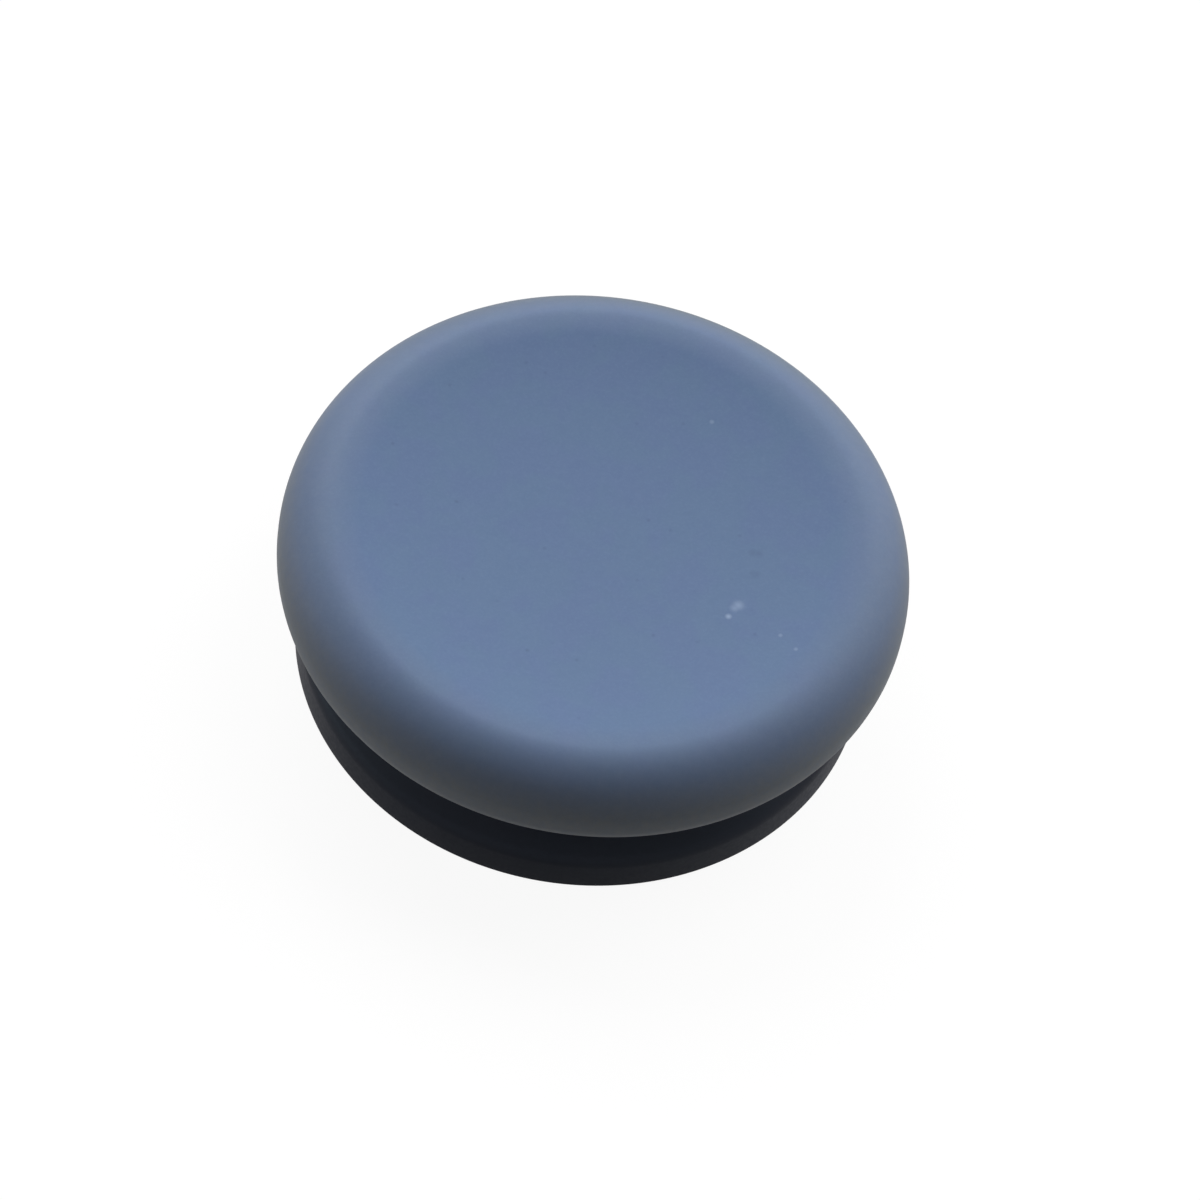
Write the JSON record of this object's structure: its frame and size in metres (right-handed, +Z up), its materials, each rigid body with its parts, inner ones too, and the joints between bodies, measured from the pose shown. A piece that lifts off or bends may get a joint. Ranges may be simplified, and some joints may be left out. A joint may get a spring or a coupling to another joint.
{
  "type": "thumbstick cap",
  "caption": "Round dished thumb disc with a rolled rim on a black base with a short skirt, a sloping shoulder, a neck and a keyed blind socket underneath.",
  "frame": {"origin": "centre of the skirt's flat lower edge, on the plane that the cap stands on", "axes": "+Z up along the cap's axis, out of the dish; +X along the long side of the socket"},
  "size_m": [0.0176, 0.0176, 0.0059],
  "materials": {
    "soft_disc": "matte, fine spark-eroded grain",
    "black_base": "satin, smooth moulded"
  },
  "bodies": {
    "root": {"thumb_disc": "soft_disc", "socket_base": "black_base"}
  },
  "joints": []
}
